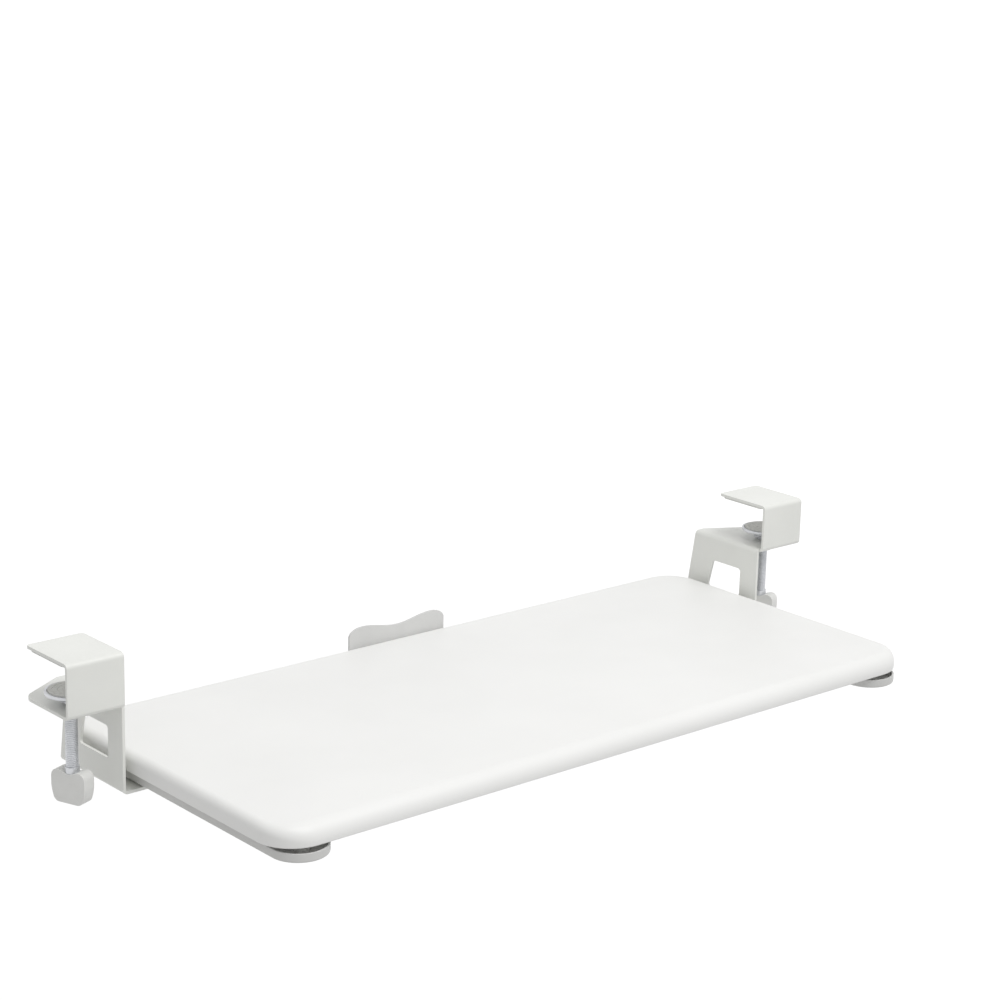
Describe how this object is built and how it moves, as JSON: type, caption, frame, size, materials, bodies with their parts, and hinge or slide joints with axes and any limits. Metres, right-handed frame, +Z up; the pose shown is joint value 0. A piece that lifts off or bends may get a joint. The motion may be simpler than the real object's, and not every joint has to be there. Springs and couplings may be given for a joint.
{
  "type": "clamp-on keyboard tray",
  "caption": "Slide-out keyboard tray with a round-cornered board, hung under a desk edge by two bent steel screw clamps with wing knobs.",
  "frame": {"origin": "midway between the two clamps, on the desk's front edge, at the height of the desk's top surface that the clamps' upper pads rest on", "axes": "+X across the tray to the user's right, +Y under the desk away from the user, +Z up"},
  "size_m": [0.799, 0.3035, 0.1244],
  "materials": {
    "laminate": "white matt laminate on fibreboard",
    "white_coat": "white powder coat",
    "grey_coat": "light grey powder coat",
    "zinc_steel": "bright zinc plate",
    "grey_plastic": "fine moulded grain",
    "light_plastic": "satin",
    "nylon": "satin",
    "jaw_rubber": "soft"
  },
  "bodies": {
    "brackets": {"left_clamp_bracket": "white_coat", "left_top_pad": "jaw_rubber", "left_weld_nut": "white_coat", "left_glide_strip": "nylon", "left_shoulder_bolts": "zinc_steel", "left_glide_washers": "nylon", "left_lock_nuts": "zinc_steel", "right_clamp_bracket": "white_coat", "right_top_pad": "jaw_rubber", "right_weld_nut": "white_coat", "right_glide_strip": "nylon", "right_shoulder_bolts": "zinc_steel", "right_glide_washers": "nylon", "right_lock_nuts": "zinc_steel"},
    "tray": {"tray_board": "laminate", "back_stop": "light_plastic", "back_stop_screws": "zinc_steel", "left_slide_rail": "grey_coat", "left_rail_screws": "zinc_steel", "right_slide_rail": "grey_coat", "right_rail_screws": "zinc_steel"},
    "left_foot": {"left_foot_disc": "zinc_steel", "left_foot_pad": "jaw_rubber", "left_foot_retainer": "zinc_steel"},
    "left_screw": {"left_clamp_screw": "zinc_steel", "left_knob": "grey_plastic", "left_knob_ferrule": "zinc_steel"},
    "right_foot": {"right_foot_disc": "zinc_steel", "right_foot_pad": "jaw_rubber", "right_foot_retainer": "zinc_steel"},
    "right_screw": {"right_clamp_screw": "zinc_steel", "right_knob": "grey_plastic", "right_knob_ferrule": "zinc_steel"}
  },
  "joints": [
    {"name": "tray_slide", "type": "slide", "parent": "brackets", "child": "tray", "axis": [0, 1, 0], "range_m": [0, 0.17]},
    {"name": "left_foot_lift", "type": "slide", "parent": "brackets", "child": "left_foot", "axis": [0, 0, 1], "range_m": [-0.0022, 0.0258]},
    {"name": "left_screw_turn", "type": "hinge", "parent": "left_foot", "child": "left_screw", "pos_m": [-0.3795, 0.0265, -0.07], "axis": [0, 0, 1], "range_deg": [-529, 6193]},
    {"name": "right_foot_lift", "type": "slide", "parent": "brackets", "child": "right_foot", "axis": [0, 0, 1], "range_m": [-0.0022, 0.0258]},
    {"name": "right_screw_turn", "type": "hinge", "parent": "right_foot", "child": "right_screw", "pos_m": [0.3795, 0.0265, -0.07], "axis": [0, 0, 1], "range_deg": [-529, 6193]}
  ],
  "couplings": [
    {"joint": "left_screw_turn", "follows": "left_foot_lift", "rad_per_m": 4188.8},
    {"joint": "right_screw_turn", "follows": "right_foot_lift", "rad_per_m": 4188.8}
  ]
}
